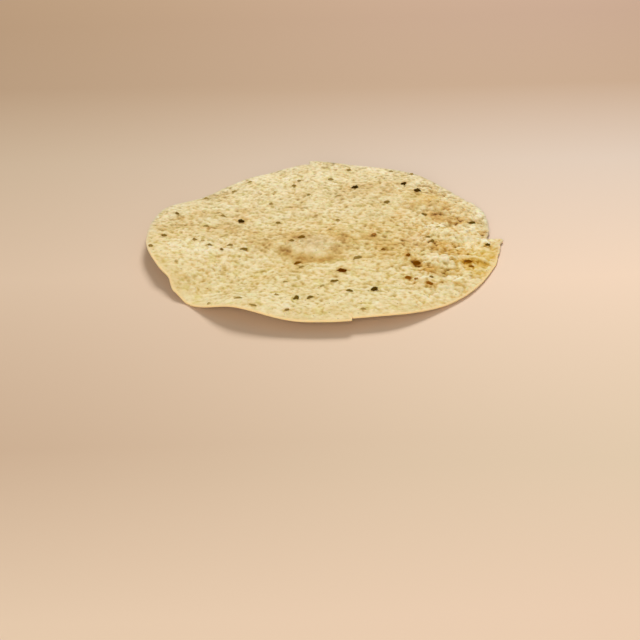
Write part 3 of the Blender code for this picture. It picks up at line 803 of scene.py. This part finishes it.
cumin = {
    "sides": 15,
    "rings": 14,
    "ribs": 5,
    "ribDepth": 0.12,
    "bend": 0.20,  # of its length
    "taper": 0.35,  # one end is thinner than the other
    "blunt": 0.55,  # how its ends narrow, from 0, blunt, to 1, pointed
    "lumps": 0.30,
    "lumpCount": 3.0,  # along it
    "broad": 1.35,  # how many times wider it is than what the dough leaves open
    "seed": 5,  # of the random draws
}


def cuminShape(length, width, depth, draw):  # a bent spindle with ribs, one end thinner, lying along Z
    bend = cumin["bend"] * length * draw.uniform(-1.0, 1.0)
    taper = cumin["taper"] * draw.uniform(-1.0, 1.0)
    offset = draw.uniform(0.0, noiseReach)

    def spotAt(share, angle):
        arch = max(math.sin(math.pi * share), 0.0)
        ridge = math.cos(cumin["ribs"] * angle) * (0.0 < share < 1.0)
        girth = arch ** cumin["blunt"] * (1.0 + taper * (share - 0.5) * 2.0)
        girth = girth * (1.0 + cumin["ribDepth"] * ridge)
        spot = Vector((math.cos(angle), math.sin(angle), share * cumin["lumpCount"] + offset))
        lump = 1.0 + cumin["lumps"] * noise.noise(spot)
        across = 0.5 * width * cumin["broad"] * girth * lump * math.cos(angle) + bend * (arch - 0.5)
        up = 0.5 * depth * girth * lump * math.sin(angle)
        return (across, up, (share - 0.5) * length), 0.5 + 0.5 * ridge

    return loft(cumin["rings"], cumin["sides"], spotAt)


pepper = {
    "sides": 16,
    "rings": 11,
    "wrinkle": 0.62,
    "crack": 2.3,  # how many wrinkles there are across it
    "broad": 1.08,
    "round": 0.85,  # it is at least this share of its width thick
    "ribColourAndShade": (0.5, 0.8),  # how its colour follows the wrinkles, as painted shade in their hollows
    "seed": 6,  # of the random draws
}


def pepperShape(length, width, depth, draw):  # a cracked peppercorn: a wrinkled lump with broken sides
    offset = Vector((draw.uniform(0.0, noiseReach), 0.0, 0.0))
    high = max(depth, pepper["round"] * width)

    def spotAt(share, angle):
        polar = math.pi * share
        ray = Vector((math.sin(polar) * math.cos(angle), math.sin(polar) * math.sin(angle), -math.cos(polar)))
        wrinkle = noise.noise(ray * pepper["crack"] + offset)
        half = (1.0 + pepper["wrinkle"] * wrinkle) / 2
        broad = pepper["broad"] * half
        spot = (ray.x * width * broad, ray.y * high * half, ray.z * length * broad)
        return spot, ranged(pepper["ribColourAndShade"], wrinkle)

    return loft(pepper["rings"], pepper["sides"], spotAt)


def makeSeeds(name, chosen, shape, seed):
    draw = np.random.default_rng(seed)
    lowest = scatter["clear"] - lift
    corners, faces, ribColourAndShade, shades, fried = [], [], [], [], []
    for spice in chosen:
        x, y, turn, length, width, face, shade = spice
        points, quads, ridge = shape(length, width, scatter["depth"][face > 0], draw)
        start = len(corners)
        matrix = seedFrame(x, y, turn, face, bedOf(spice), scatter["sink"] * shade)
        spots = [matrix @ Vector(point) for point in points]
        corners += [(spot.x, spot.y, max(spot.z, lowest)) for spot in spots]
        faces += [tuple(start + index for index in quad) for quad in quads]
        ribColourAndShade += ridge
        shades += [shade] * len(points)
        fried += [float(smooth(summed(scorched, np.array([[x, y]]))[0]))] * len(points)
    return makeMesh(name, np.array(corners), faces, {"ribColourAndShade": ribColourAndShade, "shade": shades, "fried": fried})


def linear(code):  # an sRGB hex colour as linear RGBA
    parts = [int(code[index:index + 2], 16) / 255 for index in (1, 3, 5)]
    return tuple(p / 12.92 if p <= 0.04045 else ((p + 0.055) / 1.055) ** 2.4 for p in parts) + (1.0,)


def setInputs(tree, node, inputs):  # links each input that is given a socket, and sets the others
    for name, value in inputs.items():
        if isinstance(value, bpy.types.NodeSocket):
            tree.links.new(value, node.inputs[name])
        else:
            node.inputs[name].default_value = value


def add(tree, kind, inputs=None, **settings):  # a node with its settings and links
    node = tree.nodes.new(kind)
    for name, value in settings.items():
        setattr(node, name, value)
    setInputs(tree, node, inputs or {})
    return node


def coloured(ramp, stops):  # the colour of a ramp through these stops
    elements = ramp.color_ramp.elements
    elements[0].position, elements[0].color = stops[0][0], linear(stops[0][1])
    elements[1].position, elements[1].color = stops[-1][0], linear(stops[-1][1])
    for position, code in stops[1:-1]:
        elements.new(position).color = linear(code)
    return ramp.outputs["Color"]


def newMaterial(name):
    material = bpy.data.materials.new(name)
    material.use_nodes = True
    return material, material.node_tree, material.node_tree.nodes["Principled BSDF"]


# Lentil dough rolled thin, dried and deep fried: dry, matt and full of steam blisters, cream where it stands
# up and straw or olive in the creases, which is painted highlight and shade, golden where the oil toasted it
# and in painted shade.
crispLook = {
    "straw": ((0.0, "#fbf4da"), (0.25, "#eee1b5"), (0.50, "#d7c182"), (0.75, "#b0954e"), (1.0, "#75571f")),
    "golden": ((0.0, "#fdf2d4"), (0.25, "#f0dba9"), (0.50, "#ddb662"), (0.75, "#bb8931"), (1.0, "#70440d")),
    "olive": ((0.0, "#f5ecc2"), (0.25, "#e4d592"), (0.50, "#c9b15c"), (0.75, "#9d8434"), (1.0, "#655018")),
    "oliveShare": 0.75,
    # painted glow of light through the thin rim, brighter in front, and greyer at the back
    "rimGlow": "#fadea9",
    "rimGlowBack": "#cec4a6",
    "saturation": 0.97,
    "greyestSaturation": 0.78,  # where it is greyest: the painted sheen towards the back, and the greyer patches
    "mottle": 1.3 * mm,  # fine, uneven browning
    "mottleShare": 0.25,
    "mottleLevel": 0.5,
    "mottleDetail": 3.0,
    "speck": 1.5 * mm,  # small pebbles that only the light and the colour show, the colour as painted shade in the grooves between them
    "speckWarp": 0.8 * mm,
    "speckShare": 0.24,
    "speckLevel": 0.42,
    "speckDepth": 0.35 * mm,
    "crumb": 0.45 * mm,  # the real one is about 0.2 mm, and is drawn this coarse so that it shows
    "crumbDepth": 0.12 * mm,
    "crumbShare": 0.6,
    "crumbDetail": 4.0,
    "fleck": 1.9 * mm,  # spacing of the spice dust
    "fleckSize": (0.24, 0.12),  # from its edge to where it is whole, in spacings
    "fleckShare": 0.6,
    "fleckRarity": 0.86,  # the share of the places that have none
    "fleckColour": "#7d5a2a",
    "roughness": 0.70,
    "gloss": 0.06,
    "glow": 0.30,  # light that soaks into the thin sheet
    "glowColour": (1.0, 0.6, 0.3),
    "glowReach": 1.2 * mm,
}


def friedLentilCrisp():
    material, tree, shader = newMaterial("fried_lentil_crisp")
    look = crispLook
    at = add(tree, "ShaderNodeTexCoord").outputs["Object"]
    tone, warm, olive, edgeGlow, greyAndSheen, dull, rough = [
        add(tree, "ShaderNodeAttribute", attribute_name=name).outputs["Fac"]
        for name in ("tone", "warm", "olive", "edgeGlow", "greyAndSheen", "dull", "rough")]
    # the tone, with a fine mottle, and painted shade in the grooves between the specks
    drawn = add(tree, "ShaderNodeMapping",
                {"Vector": at, "Scale": (1 / pebble["stretch"], 1.0, 1.0)}).outputs[0]
    mottle = add(tree, "ShaderNodeTexNoise", {"Vector": drawn, "Scale": 1 / look["mottle"],
                                              "Detail": look["mottleDetail"]}).outputs["Fac"]
    grainy = add(tree, "ShaderNodeMath", {0: mottle, 1: look["mottleLevel"]}, operation="SUBTRACT").outputs[0]
    heat = add(tree, "ShaderNodeMath", {0: grainy, 1: look["mottleShare"], 2: tone},
               operation="MULTIPLY_ADD").outputs[0]
    bent = add(tree, "ShaderNodeMath", {0: mottle, 1: look["speckWarp"]}, operation="MULTIPLY").outputs[0]
    moved = add(tree, "ShaderNodeVectorMath", {0: drawn, 1: bent}, operation="ADD").outputs[0]
    speck = add(tree, "ShaderNodeTexVoronoi", {"Vector": moved, "Scale": 1 / look["speck"]},
                feature="SMOOTH_F1").outputs["Distance"]
    speckPitShade = add(tree, "ShaderNodeMath", {0: speck, 1: look["speckLevel"]}, operation="SUBTRACT").outputs[0]
    speckPitShade = add(tree, "ShaderNodeMath", {0: speckPitShade, 1: rough}, operation="MULTIPLY").outputs[0]
    heat = add(tree, "ShaderNodeMath", {0: speckPitShade, 1: look["speckShare"], 2: heat},
               operation="MULTIPLY_ADD").outputs[0]
    # its colour, from straw to golden, and yellower in places
    straw, golden, yellow = [coloured(add(tree, "ShaderNodeValToRGB", {"Fac": heat}), look[name])
                             for name in ("straw", "golden", "olive")]
    colour = add(tree, "ShaderNodeMix", {0: warm, 6: straw, 7: golden}, data_type="RGBA").outputs[2]
    share = add(tree, "ShaderNodeMath", {0: olive, 1: look["oliveShare"]}, operation="MULTIPLY").outputs[0]
    colour = add(tree, "ShaderNodeMix", {0: share, 6: colour, 7: yellow}, data_type="RGBA").outputs[2]
    # flecks of spice dust
    dust = add(tree, "ShaderNodeTexVoronoi", {"Vector": at, "Scale": 1 / look["fleck"]})
    far, near = look["fleckSize"]
    few = add(tree, "ShaderNodeMapRange",
              {"Value": dust.outputs["Distance"], "From Min": near, "From Max": far,
               "To Min": look["fleckShare"], "To Max": 0.0}).outputs[0]
    rare = add(tree, "ShaderNodeSeparateColor", {"Color": dust.outputs["Color"]}).outputs["Red"]
    rare = add(tree, "ShaderNodeMath", {0: rare, 1: look["fleckRarity"]}, operation="GREATER_THAN").outputs[0]
    few = add(tree, "ShaderNodeMath", {0: few, 1: rare}, operation="MULTIPLY").outputs[0]
    colour = add(tree, "ShaderNodeMix", {0: few, 6: colour, 7: linear(look["fleckColour"])},
                 data_type="RGBA").outputs[2]
    # the rim's painted glow, duller towards the back
    rim = add(tree, "ShaderNodeMix", {0: dull, 6: linear(look["rimGlow"]), 7: linear(look["rimGlowBack"])},
              data_type="RGBA").outputs[2]
    colour = add(tree, "ShaderNodeMix", {0: edgeGlow, 6: colour, 7: rim}, data_type="RGBA").outputs[2]
    # greyer with the painted sheen towards the back, and in the greyer patches
    strength = add(tree, "ShaderNodeMapRange",
                   {"Value": greyAndSheen, "To Min": look["saturation"], "To Max": look["greyestSaturation"]}, clamp=False)
    colour = add(tree, "ShaderNodeHueSaturation",
                 {"Color": colour, "Saturation": strength.outputs[0]}).outputs["Color"]
    # pits between the specks, and crumb
    pits = add(tree, "ShaderNodeBump",
               {"Height": speck, "Strength": rough, "Distance": look["speckDepth"]}, invert=True)
    crumb = add(tree, "ShaderNodeTexNoise",
                {"Vector": at, "Scale": 1 / look["crumb"], "Detail": look["crumbDetail"]}).outputs["Fac"]
    bump = add(tree, "ShaderNodeBump", {"Height": crumb, "Strength": look["crumbShare"],
                                        "Distance": look["crumbDepth"], "Normal": pits.outputs["Normal"]})
    setInputs(tree, shader, {
        "Base Color": colour,
        "Normal": bump.outputs["Normal"],
        "Roughness": look["roughness"],
        "Specular IOR Level": look["gloss"],
        "Subsurface Weight": look["glow"],
        "Subsurface Radius": look["glowColour"],
        "Subsurface Scale": look["glowReach"],
    })
    return material


# Cumin and cracked black pepper fried in their husks: dull, dry skins from near black over olive brown to the
# straw of the dough that covers them, redder where the sheet is toasted, darker between the ribs and in the
# wrinkles: paler ridges and painted shade.
huskLook = {
    "olive": ((0.0, "#2e1e05"), (0.2, "#563f0d"), (0.4, "#745d20"), (0.6, "#917638"), (0.8, "#a88f50"),
              (1.0, "#ccb478")),
    "red": ((0.0, "#311a00"), (0.2, "#683700"), (0.4, "#8d5609"), (0.6, "#ac6f2a"), (0.8, "#c18e4a"),
            (1.0, "#d9b472")),
    "hollows": 0.60,  # how bright it is between the ribs and in the wrinkles, which is painted shade, and on the ribs, which are the husk's paler ridges and painted highlight
    "ridges": 1.30,
    "cuminRoughness": 0.6,
    "pepperRoughness": 0.55,
    "gloss": 0.0,
}


def spiceHusk(name, roughness):
    material, tree, shader = newMaterial(name)
    ribColourAndShade, shade, fried = [add(tree, "ShaderNodeAttribute", attribute_name=label).outputs["Fac"]
                         for label in ("ribColourAndShade", "shade", "fried")]
    olive, red = [coloured(add(tree, "ShaderNodeValToRGB", {"Fac": shade}), huskLook[label])
                  for label in ("olive", "red")]
    colour = add(tree, "ShaderNodeMix", {0: fried, 6: olive, 7: red}, data_type="RGBA").outputs[2]
    # painted shade between the ribs and in the wrinkles, brighter on the ribs
    light = add(tree, "ShaderNodeMapRange",
                {"Value": ribColourAndShade, "To Min": huskLook["hollows"], "To Max": huskLook["ridges"]}).outputs[0]
    colour = add(tree, "ShaderNodeHueSaturation", {"Color": colour, "Value": light}).outputs["Color"]
    setInputs(tree, shader, {
        "Base Color": colour,
        "Roughness": roughness,
        "Specular IOR Level": huskLook["gloss"],
    })
    return material


crispSheet = makeSheet()
crispSheet.data.materials.append(friedLentilCrisp())
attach(crispSheet, "root")
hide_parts("papadum")
crispSheet.data.calc_loop_triangles()
print("crisp sheet:", len(crispSheet.data.loop_triangles), "triangles")

longSeeds = [seed for seed in seeds if seed[3] > scatter["roundest"] * seed[4]]
roundSeeds = [seed for seed in seeds if seed[3] <= scatter["roundest"] * seed[4]]
cuminSeeds = makeSeeds("cumin_seeds", longSeeds, cuminShape, cumin["seed"])
cuminSeeds.data.materials.append(spiceHusk("fried_cumin_husk", huskLook["cuminRoughness"]))
pepperGrains = makeSeeds("pepper_grains", roundSeeds, pepperShape, pepper["seed"])
pepperGrains.data.materials.append(spiceHusk("cracked_black_pepper", huskLook["pepperRoughness"]))
for spice in (cuminSeeds, pepperGrains):
    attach(spice, "root")
    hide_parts("papadum")
print("spices:", len(longSeeds), "cumin,", len(roundSeeds), "pepper")


floorLook = {  # a sweep of peach paper, its colour painted with the fall of light: brighter in front and to the right, darker towards the back
    "size": 6.0,
    # its colours from the front to the back, on the left and on the right, with a band of painted shadow on
    # the left near the front
    "left": ((0.0, "#e8d2be"), (0.18, "#ceb49e"), (0.42, "#dbc4b0"), (0.64, "#c7b29d"), (0.82, "#ae937a"),
             (1.0, "#a88c72")),
    "right": ((0.0, "#f3dac8"), (0.15, "#e9d6c1"), (0.40, "#f4dccb"), (0.62, "#d9c8be"), (0.80, "#b89c86"),
              (1.0, "#af9280")),
    "nearY": -0.30,  # where they start and end, and where left passes into right
    "farY": 0.35,
    "leftX": -0.20,
    "rightX": 0.20,
    "roughness": 0.8,
}


def makeFloor():
    half = floorLook["size"] / 2
    mesh = bpy.data.meshes.new("floor")
    corners = [(-half, -half, 0), (half, -half, 0), (half, half, 0), (-half, half, 0)]
    mesh.from_pydata(corners, [], [(0, 1, 2, 3)])
    floor = bpy.data.objects.new("floor", mesh)
    bpy.context.scene.collection.objects.link(floor)
    material, tree, shader = newMaterial("matt_studio_paper")
    at = add(tree, "ShaderNodeTexCoord").outputs["Object"]
    axes = add(tree, "ShaderNodeSeparateXYZ", {"Vector": at}).outputs
    back = add(tree, "ShaderNodeMapRange",
               {"Value": axes["Y"], "From Min": floorLook["nearY"], "From Max": floorLook["farY"]}).outputs[0]
    right = add(tree, "ShaderNodeMapRange",
                {"Value": axes["X"], "From Min": floorLook["leftX"], "From Max": floorLook["rightX"]},
                interpolation_type="SMOOTHSTEP").outputs[0]
    sides = [coloured(add(tree, "ShaderNodeValToRGB", {"Fac": back}), floorLook[side])
             for side in ("left", "right")]
    colour = add(tree, "ShaderNodeMix", {0: right, 6: sides[0], 7: sides[1]}, data_type="RGBA").outputs[2]
    setInputs(tree, shader, {"Base Color": colour, "Roughness": floorLook["roughness"]})
    mesh.materials.append(material)


def addLight(name, size, power, colour, at, towards):
    data = bpy.data.lights.new(name, "AREA")
    data.shape = "DISK"
    data.size = size
    data.energy = power
    data.color = linear(colour)[:3]
    lamp = bpy.data.objects.new(name, data)
    lamp.location = at
    lamp.rotation_euler = (Vector(towards) - Vector(at)).to_track_quat("-Z", "Y").to_euler()
    bpy.context.scene.collection.objects.link(lamp)


lights = (  # name, width in metres, watts, colour, place, aim
    ("key", 0.55, 15.6, "#fffbf2", (0.16, 1.02, 0.92), (0, 0, 0)),
    ("front_fill", 0.9, 11.0, "#fff3e0", (-0.25, -1.3, 0.55), (0, 0, 0)),
)

room = {"colour": "#f8efdc", "strength": 0.30}  # the soft light from all sides

cameraView = {
    "sensor": 36.0,  # mm
    "distance": 0.90,
    "rise": 26.0,  # degrees over the horizon, of the line to the papadum
    "roll": 1.55,  # degrees, clockwise
    "frameWidth": 0.326,  # metres across the frame at the papadum
    "middleX": 323.0,  # the papadum's middle in the 640 pixel frame
    "middleY": 236.0,
    "frame": 640,
    "aimHeight": 5.0 * mm,
}


def lightRoom():
    world = bpy.data.worlds.new("soft_room")
    world.use_nodes = True
    background = world.node_tree.nodes["Background"]
    setInputs(world.node_tree, background, {"Color": linear(room["colour"]), "Strength": room["strength"]})
    bpy.context.scene.world = world
    bpy.context.scene.view_settings.view_transform = "Standard"


def makeCamera():
    view = cameraView
    data = bpy.data.cameras.new("camera")
    data.sensor_width = view["sensor"]
    data.lens = data.sensor_width * view["distance"] / view["frameWidth"]
    camera = bpy.data.objects.new("camera", data)
    rise = math.radians(view["rise"])
    target = Vector((shiftX, shiftY, view["aimHeight"] + lift))
    back = Vector((0.0, -math.cos(rise), math.sin(rise)))
    perPixel = view["frameWidth"] / view["distance"] / view["frame"]
    down = math.atan((view["frame"] / 2 - view["middleY"]) * perPixel)
    left = math.atan((view["frame"] / 2 - view["middleX"]) * perPixel)
    look = (-back).to_track_quat("-Z", "Y").to_matrix().to_4x4()
    turn = Matrix.Rotation(math.radians(-view["roll"]), 4, "Z")
    nudge = Matrix.Rotation(-left, 4, "Y") @ Matrix.Rotation(-down, 4, "X")
    camera.matrix_world = Matrix.Translation(target + back * view["distance"]) @ look @ turn @ nudge
    bpy.context.scene.collection.objects.link(camera)
    bpy.context.scene.camera = camera


makeFloor()
for light in lights:
    addLight(*light)
lightRoom()
makeCamera()
print("floor, lights and camera set")
